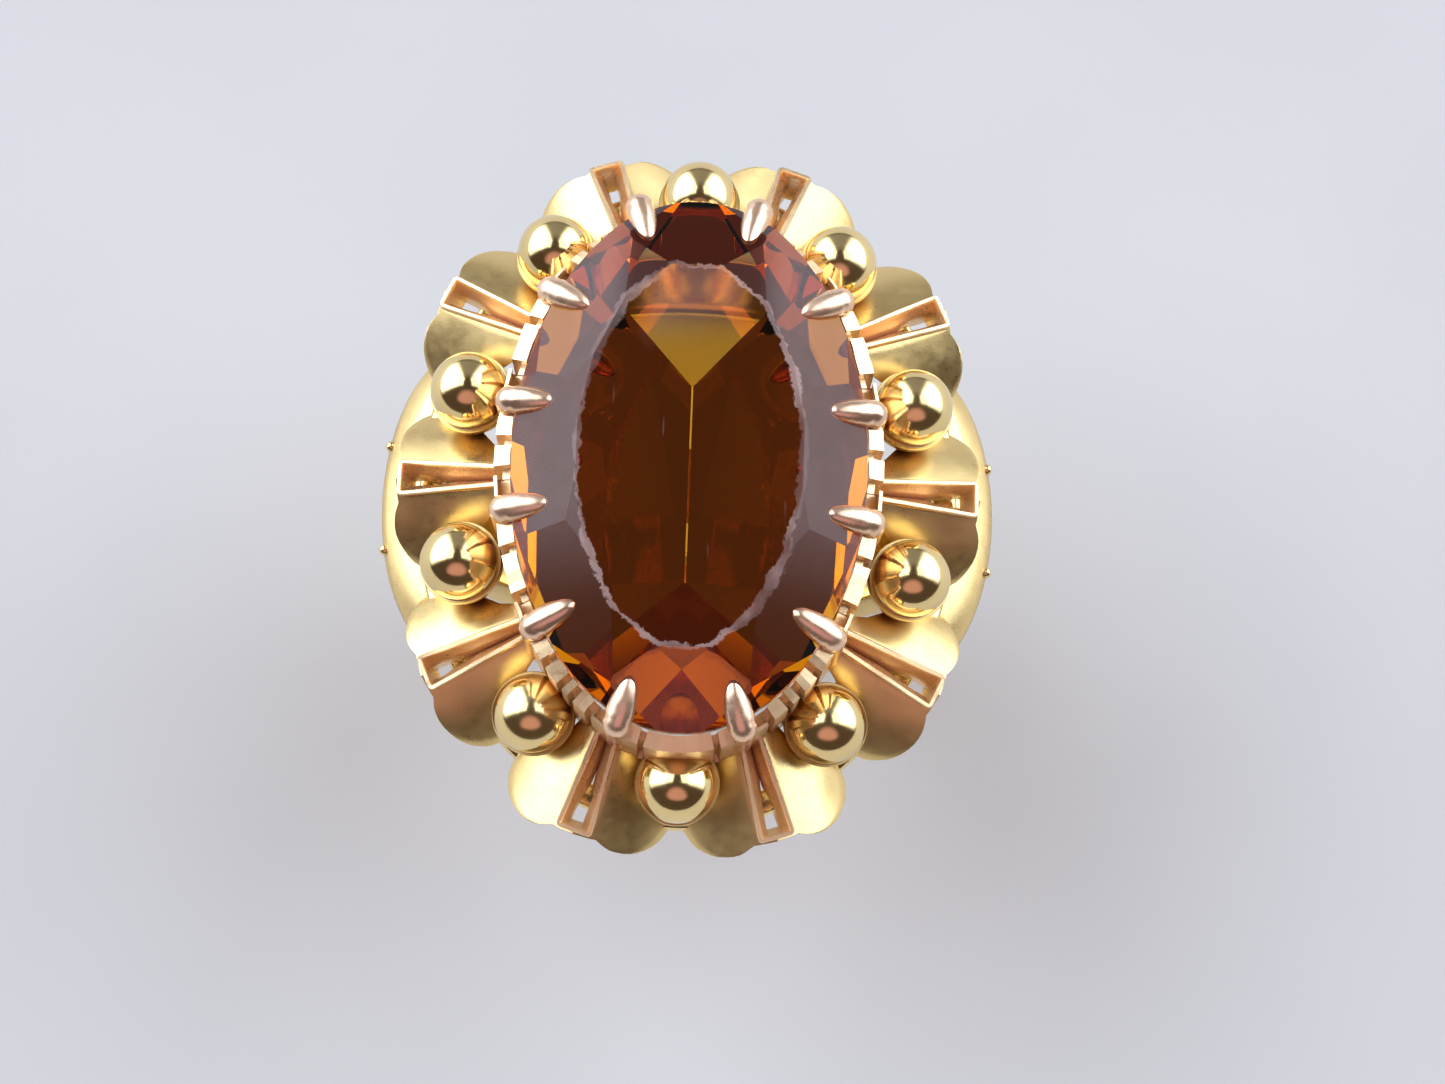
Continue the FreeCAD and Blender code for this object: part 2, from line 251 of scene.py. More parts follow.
def makeGold(name, look):
    wear = goldWear
    tree = Tree(bpy.data.materials.new(name))
    place = tree.place()
    cloud = tree.grain(place, wear["cloud"], 3)
    fine = tree.grain(place, wear["fine"], 4)
    brushed = tree.grain(tree.scaled(place, 1, 5, 2), wear["brushed"], 3, 0.7)
    # ambient occlusion paints shade into the hollows: there the colour is blended towards a darker
    # brown, a painted shade
    hollow = tree.node("ShaderNodeAmbientOcclusion", {"samples": 6, "only_local": False},
                       {"Distance": look["shade"] * mm}, "AO")
    unshaded = tree.step(hollow, *wear["unshaded"])
    base = tree.blend(unshaded, look["deep"], look["colour"])
    paler = tuple(min(1.0, c * 1.06 + 0.02) for c in look["colour"])
    duller = tuple(c * 0.80 for c in look["colour"])
    base = tree.blend(tree.step(cloud, *wear["pale"]) * unshaded * wear["paleShare"], base, paler)
    base = tree.blend(tree.step(cloud, *wear["dull"]) * wear["dullShare"], base, duller)
    rough = tree.step(cloud * 0.6 + fine * 0.4, *wear["rub"], *look["rough"])
    rough = rough + (1 - unshaded) * look["hollow"]
    hairField = tree.grain(tree.scaled(place, 0.12, 1, 1), wear["hairs"], 2, 0.5)
    relief = brushed * 0.6 + fine * 0.4 - tree.step(hairField, *wear["hair"]) * wear["hairDepth"]
    # where ambient occlusion finds a hollow the metal share drops too, so the painted shade there
    # takes up more diffuse light
    metallic = 1 - look["body"] * (1.6 - unshaded)    # filed and hollow places scatter a little light
    shader = tree.node("ShaderNodeBsdfPrincipled", None, {
        "Base Color": base, "Metallic": metallic, "Roughness": rough,
        "Normal": tree.bump(relief, look["scratch"], wear["relief"] * mm)})
    return tree.finish(shader)


polishedGold = makeGold("polishedGold", goldLook["polished"])
satinGold = makeGold("satinGold", goldLook["satin"])
warmGold = makeGold("warmGold", goldLook["warm"])
clawGold = makeGold("clawGold", goldLook["claw"])
print("metals mixed")


# the stone: the same cuts as the frame's stone, one plane after another;
# the girdle is a ring of this many flats, and the keel is worn to a thread of a flat
stoneCut = dict(
    blank=(16, 24), flats=48, girdleZ=16.0, girdle=(6.5, 10.0), edge=0.4, table=(4.1, 7.1),
    crown=1.3, depth=6.17, keel=3.8, culet=0.03, mains=(0, 25.6, 90),
    stars=(11, 50), starSlope=15, breaks=(6, 17, 38, 70), breakSlope=40,
    under=((72, 52, 1), (64, 56, -1), (14, 60, -1)),
)

# places and widths are in mm, from the middle of the stone or from the table's edge
stoneLook = dict(
    skin=(1.0, 0.93, 0.82), bend=1.62, depths=(0.965, 0.78, 0.023), density=430.0,
    frost=(0.60, 0.42, 0.37), frostRough=0.45,
    table=(16.9, 17.2), crown=(15.95, 16.1),
    band=(0.04, 0.24), bandOff=0.04, bandRagged=0.8, bandShare=(0.10, 0.44),    # worn edge
    scratches=0.08,
    film=0.13, filmAlong=(5.2, 7.4), filmAside=(2.3, 1.1), filmRagged=2.4,    # smear on the table
    # a frosted haze on the crown's sides: partly breath on the stone, partly a painted reflection of
    # the window there
    hazeAndSheen=0.12, hazeAndSheenAlong=(-6.0, -1.5), hazeAndSheenAside=(2.2, 3.4),    # breath on the crown's sides
)


def reachOf(half, angle):
    return math.hypot(half[0] * math.cos(deg(angle)), half[1] * math.sin(deg(angle)))


def quarters(angle):
    return sorted({angle % 360, (180 - angle) % 360, (180 + angle) % 360, -angle % 360})


def cutAway(bm, point, normal):
    geometry = bm.verts[:] + bm.edges[:] + bm.faces[:]
    cut = bmesh.ops.bisect_plane(bm, geom=geometry, plane_co=point, plane_no=normal,
                                 clear_outer=True, dist=1e-6)
    edges = [e for e in cut["geom_cut"] if isinstance(e, bmesh.types.BMEdge)]
    if len(edges) > 2:
        bmesh.ops.edgeloop_fill(bm, edges=edges)


def leaning(angle, slope, way=1):
    # a facet's outward direction; way is 1 on the crown and -1 under the girdle
    flat = math.sin(deg(slope))
    return Vector((flat * math.cos(deg(angle)), flat * math.sin(deg(angle)),
                   way * math.cos(deg(slope))))


def stoneGlass():
    look = stoneLook
    tree = Tree(bpy.data.materials.new("amberStone"))
    place = tree.place()
    x, y, z = tree.axes(place)
    smearEdge = y + tree.grain(place, 200, 2) * look["filmRagged"] * mm
    smeared = tree.step(smearEdge, *inMetres(look["filmAlong"]))
    hazeAndSheenFade = tree.step(y, *inMetres(look["hazeAndSheenAlong"]))
    x, y = x.maths("ABSOLUTE"), y.maths("ABSOLUTE")

    # how far outside the table this spot is
    edge = None
    for angle in (*stoneCut["mains"], *stoneCut["stars"]):
        cosine, sine = math.cos(deg(angle)), math.sin(deg(angle))
        beyond = x * cosine + y * sine - reachOf(stoneCut["table"], angle) * mm
        edge = beyond if edge is None else edge.maths("MAXIMUM", beyond)
    edge = edge / mm
    onTable = tree.step(z, *inMetres(look["table"]))
    onCrown = tree.step(z, *inMetres(look["crown"]))

    ragged = tree.grain(place, 1300, 6, 0.75)
    off = (edge + look["bandOff"] + (ragged - 0.5) * look["bandRagged"]).maths("ABSOLUTE")
    wide = tree.step(tree.grain(place, 300, 2), 0.32, 0.68, *look["band"])
    worn = tree.step(off / wide, 1.0, 0.7) * onTable
    worn = worn * tree.step(tree.grain(place, 420, 3), 0.35, 0.65, *look["bandShare"])
    scratched = tree.step(tree.grain(tree.scaled(place, 1, 0.08, 1), 2400, 2, 0.6), 0.70, 0.73)
    scratched = scratched * onTable * tree.step(edge, -0.3, -0.6) * look["scratches"]
    film = smeared * tree.step(x, *inMetres(look["filmAside"])) * onTable
    film = film * tree.step(edge, 0.0, -0.2) * look["film"]
    # this haze is partly a painted reflection, laid on the crown facets that mirror the window
    hazeAndSheen = hazeAndSheenFade * tree.step(x, *inMetres(look["hazeAndSheenAside"])) * tree.step(edge, -0.1, 0.1)
    hazeAndSheen = hazeAndSheen * onCrown * tree.step(ragged, 0.3, 0.7, 0.85, 1.15) * look["hazeAndSheen"]

    clear = tree.node("ShaderNodeBsdfPrincipled", None, {
        "Base Color": (*look["skin"], 1), "Roughness": 0.0, "IOR": look["bend"],
        "Transmission Weight": 1.0})
    frosted = tree.node("ShaderNodeBsdfPrincipled", None, {
        "Base Color": (*look["frost"], 1), "Roughness": look["frostRough"]})
    surface = tree.node("ShaderNodeMixShader", None,
                        [worn + scratched + film + hazeAndSheen, clear, frosted])
    volume = tree.node("ShaderNodeVolumeAbsorption", None, {
        "Color": (*look["depths"], 1), "Density": look["density"]})
    return tree.finish(surface, volume)


def crownAndPavilion():
    # every facet as (angle, slope, reach, height, way), in the order of the cutting
    cut = stoneCut
    top = cut["edge"] / 2
    crown = top + cut["crown"]
    planes = []

    def facets(base, slope, half, z, way):
        for angle in quarters(base):
            planes.append((angle, slope, reachOf(half, angle), z, way))

    for base in cut["mains"]:
        for angle in quarters(base):
            outer = reachOf(cut["girdle"], angle)
            run = outer - reachOf(cut["table"], angle)
            slope = math.degrees(math.atan2(cut["crown"], run))
            planes.append((angle, slope, outer, top, 1))
    for base in cut["stars"]:
        facets(base, cut["starSlope"], cut["table"], crown, 1)
    for base in cut["breaks"]:
        facets(base, cut["breakSlope"], cut["girdle"], top, 1)
    sideSlope = math.degrees(math.atan2(cut["depth"], cut["girdle"][0]))
    endSlope = math.degrees(math.atan2(cut["depth"], cut["girdle"][1] - cut["keel"]))
    for angle, slope in ((0, sideSlope), (180, sideSlope), (90, endSlope), (270, endSlope)):
        planes.append((angle, slope, reachOf(cut["girdle"], angle), -top, -1))
    for base, slope, half in cut["under"]:
        for angle in quarters(base):
            if math.sin(deg(angle)) * half > 0:
                planes.append((angle, slope, reachOf(cut["girdle"], angle), -top, -1))
    return planes


def makeStone():
    cut = stoneCut
    bm = bmesh.new()
    bmesh.ops.create_cube(bm, size=1)
    top = cut["edge"] / 2
    crown = top + cut["crown"]
    keel = -top - cut["depth"] + cut["culet"]
    wide, long = cut["blank"]
    for v in bm.verts:
        v.co = Vector((v.co.x * wide, v.co.y * long, crown if v.co.z > 0 else keel))
    for k in range(cut["flats"]):
        angle = 360 * k / cut["flats"]
        out = leaning(angle, 90)
        cutAway(bm, out * reachOf(cut["girdle"], angle), out)
    for angle, slope, reach, z, way in crownAndPavilion():
        cutAway(bm, leaning(angle, 90) * reach + upright * z, leaning(angle, slope, way))
    bmesh.ops.dissolve_limit(bm, angle_limit=deg(0.1), verts=bm.verts, edges=bm.edges)
    bmesh.ops.translate(bm, verts=bm.verts, vec=(0, 0, cut["girdleZ"]))
    bmesh.ops.scale(bm, verts=bm.verts, vec=(mm, mm, mm))
    bmesh.ops.recalc_face_normals(bm, faces=bm.faces)
    mesh = bpy.data.meshes.new("facetedStone")
    bm.to_mesh(mesh)
    bm.free()
    mesh.shade_flat()
    mesh.materials.append(stoneGlass())
    stone = bpy.data.objects.new("facetedStone", mesh)
    bpy.context.scene.collection.objects.link(stone)
    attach(stone, "root")
    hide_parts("stone")


makeStone()
print("stone cut")


# claws: a stem up the collet, a knee at the girdle, and a pointed nose bent over the stone
claws = dict(
    heel=(6.9, 10.35), stem=(10.4, 11.9, 13.5), bend=16.25, knee=0.42, kneeBelow=0.35,
    radius=0.50, stemWide=0.92, swell=0.10, rise=25.0,
    nose=2.10, droop=0.10, noseWide=(1.08, 0.22), noseHigh=(0.92, 0.30), blunt=2.6, tip=0.03,
    underside=0.75, hammered=0.012, around=20, kneeSteps=6, noseSteps=14,
    places=((11.5, 5.0), (38.0, 28.0), (71.0, 75.0)),
)


def clawRing(centre, along, side, wide, high, underside=1.0):
    up = side.cross(along).normalized()
    ring = []
    for k in range(claws["around"]):
        a = 2 * pi * k / claws["around"]
        across = math.cos(a)
        lift = math.sin(a)
        if lift < 0:
            lift *= underside
        else:
            lift *= 1 - 0.12 * abs(across) ** 3
        ring.append(centre + side * across * wide + up * lift * high)
    return ring


def makeClaw(name, node, place, direction):
    c = claws
    heel = onOval(c["heel"], deg(place))
    inward = -Vector((math.cos(deg(direction)), math.sin(deg(direction)), 0))
    side = upright.cross(inward).normalized() * -1
    r = c["radius"]
    knee = c["knee"]
    stemTop = c["bend"] - c["kneeBelow"]
    rings = []
    for z in (*c["stem"], stemTop):
        centre = Vector((heel.x, heel.y, z))
        rings.append(clawRing(centre, upright, side, r * c["stemWide"], r * c["stemWide"]))
    pivot = Vector((heel.x, heel.y, stemTop)) + inward * knee
    for k in range(1, c["kneeSteps"] + 1):
        a = deg((90 - c["rise"]) * k / c["kneeSteps"])
        centre = pivot - inward * knee * math.cos(a) + upright * knee * math.sin(a)
        along = upright * math.cos(a) + inward * math.sin(a)
        swell = 1 + c["swell"] * math.sin(pi * k / c["kneeSteps"])
        rings.append(clawRing(centre, along, side, r * swell, r * swell * 0.95))
    start = centre
    for k in range(1, c["noseSteps"] + 1):
        t = k / c["noseSteps"]
        centre = start + along * (c["nose"] - knee) * t - upright * c["droop"] * t * t
        taper = math.sqrt(max(0.0, 1 - t ** c["blunt"]))
        wide, high = [r * (full * taper * (1 - less * t) + c["tip"])
                      for full, less in (c["noseWide"], c["noseHigh"])]
        rings.append(clawRing(centre, along, side, wide, high, c["underside"]))
    points, faces = loft(rings)
    hammered = [p + c["hammered"] * noise.noise_vector(p * 3.1) for p in points]
    piece = addPiece(name, hammered, faces, clawGold, 60, [node])
    rounded = piece.modifiers.new("round", "SUBSURF")
    rounded.levels = 1
    rounded.render_levels = 1


def clawPlaces():
    for place, direction in claws["places"]:
        yield place, direction
        yield 180 - place, 180 - direction
        yield 180 + place, 180 + direction
        yield -place, -direction


for number, (place, direction) in enumerate(clawPlaces(), 1):
    makeClaw(f"claw.{number:02d}", f"claw_{number:02d}", place, direction)
print("claws bent")


# the collet's notched upper rail, walked round the oval in short cells;
# seat, pocket and block are degrees from a claw, and pitch and gap are degrees along the rest
gallery = dict(
    outer=(7.15, 10.65), wall=0.57, bottom=11.3, top=16.1, low=15.4, thin=0.12, cells=176,
    lean=0.26, backDrop=0.5, backInset=0.38, groove=0.30, grooveFoot=12.3, filed=0.05, uneven=0.05,
    seat=3.2, pocket=7.5, block=5.5, pitch=6.4, gap=1.7,
    seatDrop=0.25, pocketDrop=0.05, pocketDepth=0.1,
)


def cellKind(angle):
    # what stands at this angle: claw seat, open pocket above a claw, block or gap
    g = gallery
    turn = math.degrees(angle) % 360
    nearest = None
    for place, direction in clawPlaces():
        off = (turn - place + 180) % 360 - 180
        if nearest is None or abs(off) < abs(nearest):
            nearest = off
            upper = 1 if math.cos(deg(place)) > 0 else -1
    above = nearest * upper
    reach = abs(nearest)
    if reach < g["seat"]:
        return "seat"
    if g["seat"] <= above < g["pocket"]:
        return "pocket"
    if -g["block"] < above <= -g["seat"]:
        return "block"
    return "gap" if (reach - g["pocket"]) % g["pitch"] < g["gap"] else "block"


def makeGallery():
    g = gallery
    cells, wall, bottom, foot = g["cells"], g["wall"], g["bottom"], g["grooveFoot"]
    points, faces = [], []

    def corner(k, depth, z):
        angle = 2 * pi * k / cells
        back = smoothStep(0.55, 0.95, math.sin(angle))
        inset = depth + back * g["backInset"] * (1 - depth / wall)
        p = onOval(g["outer"], angle) - ovalNormal(g["outer"], angle) * inset
        if z > bottom:
            z -= g["lean"] * (1 - depth / wall) + g["backDrop"] * back
        p.z = z
        wave = noise.noise_vector(Vector((p.x * 1.7, p.y * 1.7, p.z * 0.9)))
        points.append(p + wave * g["filed"] * smoothStep(bottom, bottom + 1, z))
        return len(points) - 1

    def panel(k, j, d0, z0, d1, z1):
        # a four-cornered face from column k to column j, or standing on column k alone
        if k == j:
            spots = (k, d0, z0), (k, d1, z0), (k, d1, z1), (k, d0, z1)
        else:
            spots = (k, d0, z0), (j, d0, z0), (j, d1, z1), (k, d1, z1)
        faces.append(tuple(corner(*spot) for spot in spots))

    columns = []
    for k in range(cells):
        kind = cellKind(2 * pi * (k + 0.5) / cells)
        lift = g["uneven"] * noise.noise(Vector((k * 0.37, 2.0, 0)))
        high = {"seat": g["top"] - g["seatDrop"], "pocket": g["top"] - g["pocketDrop"],
                "block": g["top"] + lift, "gap": g["low"] + lift}[kind]
        low = g["low"] - g["pocketDepth"] if kind == "pocket" else high
        face = g["groove"] if kind == "gap" else 0
        columns.append((high, low, face, max(g["thin"], face + 0.05)))
    for k in range(cells):
        high, low, face, thin = columns[k]
        nextHigh, nextLow, nextFace = columns[(k + 1) % cells][:3]
        walls = [(0, bottom, 0, foot)]
        if face:
            walls.append((0, foot, face, foot))
        walls += [(face, foot, face, high), (face, high, thin, high)]
        if high != low:
            walls.append((thin, high, thin, low))
        walls += [(thin, low, wall, low), (wall, low, wall, bottom), (wall, bottom, 0, bottom)]
        for span in walls:
            panel(k, k + 1, *span)
        # the steps up or down to the next cell
        if face != nextFace:
            panel(k + 1, k + 1, 0, foot, g["groove"], min(high, nextHigh))
        if high != nextHigh:
            panel(k + 1, k + 1, 0, high, g["thin"], nextHigh)
        if low != nextLow:
            panel(k + 1, k + 1, g["thin"], low, wall, nextLow)
    addPiece("galleryRail", points, faces, warmGold, 35, ["gallery_rail"])


makeGallery()
print("collet railed")


# petals: a folded sheet with a lobe each side of its ridge, and the ridge slotted for a channel
petals = dict(
    topZ=12.85, slope=14.0, backSlope=4.5, fall=24.0, curl=0.022, length=4.22, sheet=0.32,
    start=-0.3, root=0.95, neck=((0.5, 1.35), (1.2, 2.05)), lobe=(3.0, 1.75), lobeRadius=1.47,
    lobeTurn=(142, -22), ragged=0.018, dent=0.03, edge=0.07,
    slotInner=0.40, slotOuter=0.64, slotEnd=4.02,
    places=(((7.1, 0.0), 0.0), ((6.05, 5.85), 25.0), ((2.55, 9.4), 72.0)),
)


def petalPlaces():
    for root, direction in petals["places"]:
        for flipX, flipY in ((1, 1), (-1, 1), (-1, -1), (1, -1)):
            if direction == 0 and flipY == -1:
                continue
            turned = direction if flipX == 1 else 180 - direction
            yield (root[0] * flipX, root[1] * flipY), turned * flipY


def petalMatrix(root, direction):
    slope = petals["slope"] + petals["backSlope"] * smoothStep(7, 9, root[1])
    return (Matrix.Translation((root[0], root[1], petals["topZ"]))
            @ Matrix.Rotation(deg(direction), 4, "Z") @ Matrix.Rotation(deg(slope), 4, "Y"))


def lobeOutline(seed):
    # from the root, round the lobe, to the middle of the ridge's end
    along, aside = petals["lobe"]
    r = petals["lobeRadius"]
    outline = [(petals["start"], petals["root"]), *petals["neck"]]
    for k in range(17):
        a = deg(mix(*petals["lobeTurn"], k / 16))
        wobble = 1 + petals["ragged"] * noise.noise(Vector((k * 0.5, seed, 0)))
        outline.append((along + r * wobble * math.cos(a), aside + r * wobble * math.sin(a)))
    return outline + [(4.20, 0.86)] + [(petals["length"], v) for v in (0.72, 0.4, 0.0)]


def slotEdge():
    # as many points as the outline has, along the slot and across its end
    start, end = petals["start"], petals["slotEnd"]
    edge = []
    for k in range(19):
        t = k / 18
        edge.append((mix(start, end, t), mix(petals["slotInner"], petals["slotOuter"], t)))
    return edge + [(end, v) for v in (0.62, 0.54, 0.40, 0.2, 0.0)]


def makePetal(name, node, root, direction, seed):
    points, faces = [], []
    matrix = petalMatrix(root, direction)
    slope = math.tan(deg(petals["fall"]))
    steps = 10
    for side in (1, -1):
        inner = slotEdge()
        start = len(points)
        for (u0, v0), (u1, v1) in zip(inner, lobeOutline(seed + side)):
            for k in range(steps + 1):
                t = k / steps
                u, v = mix(u0, u1, t), mix(v0, v1, t)
                dent = petals["dent"] * noise.noise(Vector((u * 0.9, v * 0.9 * side, seed)))
                z = -slope * v - petals["curl"] * v ** 3 + dent * smoothStep(0.5, 1.5, v)
                points.append(matrix @ Vector((u, v * side, z)))
        faces += gridFaces(len(inner), steps + 1, start=start)
    piece = addPiece(name, points, faces, satinGold, 50, [node])
    thick = piece.modifiers.new("sheet", "SOLIDIFY")
    thick.thickness = petals["sheet"] * mm
    thick.offset = -1
    edges = piece.modifiers.new("edges", "BEVEL")
    edges.width = petals["edge"] * mm
    edges.segments = 2
    edges.limit_method = "ANGLE"
    edges.angle_limit = deg(40)


# channels: a tapered box of strip set in the slot, open on top and sawn through at the wide end
channels = dict(
    length=4.12, start=-0.25, inner=0.43, outer=0.72, wall=0.20, proud=0.16, depth=1.45,
    cornerInner=0.12, cornerOuter=0.24, lip=(0.04, 0.05), perCorner=5, perSide=9,
    window=(0.50, 0.72), slit=0.14, waist=0.7, sawn=0.07, filed=0.015,
)


def roundedFrame(grow, narrow):
    # a tapered four-sided outline with rounded corners, walked anticlockwise
    c = channels

    def half(t):
        return (mix(c["inner"], c["outer"], t) + grow) * narrow

    x0, x1 = c["start"] - grow, c["length"] + grow
    corners = [((x0, -half(0)), c["cornerInner"]), ((x1, -half(1)), c["cornerOuter"]),
               ((x1, half(1)), c["cornerOuter"]), ((x0, half(0)), c["cornerInner"])]
    ends = []    # where the rounding of each corner starts and stops
    for k, (here, radius) in enumerate(corners):
        here = Vector(here)
        before, after = Vector(corners[k - 1][0]), Vector(corners[(k + 1) % 4][0])
        radius = max(0.02, min(radius + grow, 0.9 * abs(here.y)))
        ends.append((here + (before - here).normalized() * radius, here,
                     here + (after - here).normalized() * radius))
    ring = []
    for k, (a, here, b) in enumerate(ends):
        for j in range(c["perCorner"] + 1):
            t = j / c["perCorner"]
            ring.append(a * (1 - t) ** 2 + here * 2 * t * (1 - t) + b * t * t)
        for j in range(1, c["perSide"] + 1):
            ring.append(b.lerp(ends[(k + 1) % 4][0], j / (c["perSide"] + 1)))
    return ring


def makeChannel(name, node, root, direction, seed):
    c = channels
    matrix = petalMatrix(root, direction)
    wall, depth, proud = c["wall"], c["depth"], c["proud"]
    lipIn, lipDown = c["lip"]
    layers = [    # inset, narrowing, height, and what the tool has done there
        (0.0, 0.50, -depth, ""), (0.0, 0.72, -0.7 * depth, ""), (0.0, 0.98, -0.1, ""),
        (0.0, 1.0, proud - lipDown, "filed"), (-lipIn, 1.0, proud, "filed"),
        (-wall + lipIn, 1.0, proud, "filed"), (-wall, 1.0, proud - lipDown, "filed"),
        (-wall, 0.92, -0.10, ""), (-wall, 0.60, -0.36, "waist"),
        (-wall, 0.46, -0.62, "slit"), (-wall, 0.50, -depth, "slit"),
    ]
    rings = []
    for inset, narrow, z, tool in layers:
        ring = []
        for p in roundedFrame(inset, narrow):
            ragged = noise.noise(Vector((p.x * 2.3, seed * 3.7, 0.4 if p.y > 0 else 5.1)))
            fine = noise.noise(Vector((p.x * 6.0, p.y * 6.0, seed)))
            window = smoothStep(*c["window"], p.x / c["length"])
            y, lift = p.y, 0.0
            if tool == "filed":
                y += c["filed"] * fine
                lift = 0.012 * fine
            elif tool == "waist":
                y *= mix(c["waist"], 1.0, window)
                lift = c["sawn"] * fine
            elif tool == "slit":
                slit = mix(c["slit"], 1.0, window)
                y *= max(0.05, slit * (1 + 0.5 * ragged + 0.35 * fine))
                lift = c["sawn"] * fine
            ring.append(matrix @ Vector((p.x, y, z + lift)))
        rings.append(ring)
    points, faces = loft(rings, joined=True)
    addPiece(name, points, faces, warmGold, 45, [node])


for number, (root, direction) in enumerate(petalPlaces(), 1):
    makePetal(f"petal.{number:02d}", f"petal_{number:02d}", root, direction, number * 3.1)
    makeChannel(f"petalChannel.{number:02d}", f"petal_channel_{number:02d}",
                root, direction, number * 1.7)
print("petals folded")


# beads on a short peg, each in a leaning dish
beads = dict(peg=0.45, pegLength=0.5, seat=0.32, uneven=0.004, steps=56, rows=36)
dishes = dict(radius=1.58, wall=0.16, inset=0.06, drop=0.40, lean=8.0, rim=0.16, lip=(0.03, 0.06),
              oval=(8.9, 11.4), steps=48, rows=12)


def makeBead(name, node, seed):
    b = beads
    low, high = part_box(node)
    centre = (low + high) / 2 / mm
    radius = (high.z - low.z) / 2 / mm
    foot = -radius - b["pegLength"]
    profile = arc(radius, pi / 2, -pi / 2 + b["seat"], b["rows"])
    profile += [(b["peg"], -radius), (b["peg"], foot), (0, foot)]
    points, faces = lathe(profile, b["steps"])
    shaped = []
    for p in points:
        swell = noise.noise(p * 0.8 + Vector((seed, 0, 0)))
        shaped.append(centre + p * (1 + b["uneven"] * swell))
    addPiece(name, shaped, faces, polishedGold, 60, [node])
    return centre


def makeDish(name, node, bead):
    d = dishes
    squash = (d["oval"][0] / d["oval"][1]) ** 2
    outward = Vector((bead.x, bead.y * squash, 0)).normalized()
    centre = bead - outward * d["inset"] - Vector((0, 0, d["drop"]))
    r, rim = d["radius"], d["rim"]
    inner = r - d["wall"]
    lipIn, lipDown = d["lip"]
    profile = arc(r, -pi / 2, 0, d["rows"])
    profile += [(r, rim - lipDown), (r - lipIn, rim), (inner + lipIn, rim), (inner, rim - lipDown)]
    profile += arc(inner, 0, -pi / 2, d["rows"])
    points, faces = lathe(profile, d["steps"])
    matrix = Matrix.Translation(centre) @ Matrix.Rotation(deg(d["lean"]), 4, upright.cross(outward))
    leaned = [matrix @ p for p in points]
    addPiece(name, leaned, faces, satinGold, 50, [node])


for number in range(1, 11):
    bead = makeBead(f"bead.{number:02d}", f"bead_{number:02d}", number * 5.3)
    makeDish(f"beadDish.{number:02d}", f"bead_dish_{number:02d}", bead)
print("beads set")


# the oval hoop under the petals; a squareness of 1 would make its wire round
hoop = dict(outer=(10.5, 12.85), width=1.0, bottom=9.4, top=10.3, squareness=0.6,
            steps=160, around=16)


def makeHoop():
    w, h = hoop["width"] / 2, (hoop["top"] - hoop["bottom"]) / 2
    middle = (hoop["outer"][0] - w, hoop["outer"][1] - w)

    def squared(x):
        return math.copysign(abs(x) ** hoop["squareness"], x)

    rings = []
    for k in range(hoop["steps"]):
        angle = 2 * pi * k / hoop["steps"]
        centre = onOval(middle, angle, hoop["bottom"] + h)
        out = ovalNormal(middle, angle)
        ring = []
        for j in range(hoop["around"]):
            a = 2 * pi * j / hoop["around"]
            ring.append(centre + out * w * squared(math.cos(a)) + upright * h * squared(math.sin(a)))
        rings.append(ring)
    points, faces = loft(rings, joined=True)
    addPiece("baseHoop", points, faces, polishedGold, 60, ["base_hoop"])


makeHoop()


# the band, domed outside and eased inside, with a flat on top for the collet's foot
shankShape = dict(inner=8.75, wall=1.3, width=3.0, recess=0.72, recessHalf=(1.0, 1.7),
                  edge=0.38, dome=0.7, eased=0.10, steps=160, outside=12, inside=8)


def makeShank():
    s = shankShape
    half = s["width"] / 2
    flat = s["inner"] + s["wall"] - s["recess"]
    profile = []
    for j in range(s["outside"] + 1):
        t = pi * j / s["outside"]
        share = s["edge"] + (1 - s["edge"]) * math.sin(t) ** s["dome"]
        profile.append((s["wall"] * share, half * math.cos(t)))
    for j in range(1, s["inside"]):
        y = mix(-half, half, j / s["inside"])
        profile.append((s["eased"] * (abs(y) / half) ** 4, y))
    rings = []
    for k in range(s["steps"]):
        a = 2 * pi * k / s["steps"]
        out = Vector((math.cos(a), 0, math.sin(a)))
        ring = []
        for lift, y in profile:
            place = out * (s["inner"] + lift) + Vector((0, y, 0))
            if place.z > 0 and lift > 0.3:    # only the outside is cut down
                near = smoothStep(s["recessHalf"][1], s["recessHalf"][0], abs(place.x))
                place.z = min(place.z, mix(place.z, flat, near))
            ring.append(place)
        rings.append(ring)
    points, faces = loft(rings, joined=True)
    addPiece("shankBand", points, faces, polishedGold, 60, ["shank"])


makeShank()


# the shoulders: sheets that widen upwards from the band, follow the oval and turn in at the top
shoulders = dict(
    low=-3.0, top=9.55, reach=12.1, full=7.5, wide=6.2, narrow=1.5, plan=12.1,
    thick=1.4, footThick=0.35, overBand=0.05, turnIn=1.3, turnFrom=8.2, roundOff=0.30, inner=0.97,
    levels=34, across=24,
)


def shoulderOut(z):
    # how far the outer face stands from the middle at height z
    s = shoulders
    bandRadius = shankShape["inner"] + shankShape["wall"]
    band = math.sqrt(bandRadius ** 2 - min(z, 4.0) ** 2) + s["overBand"]
    out = mix(band, s["reach"], smoothStep(s["low"], s["full"], z))
    return out - s["turnIn"] * smoothStep(s["turnFrom"], s["top"], z) ** 2


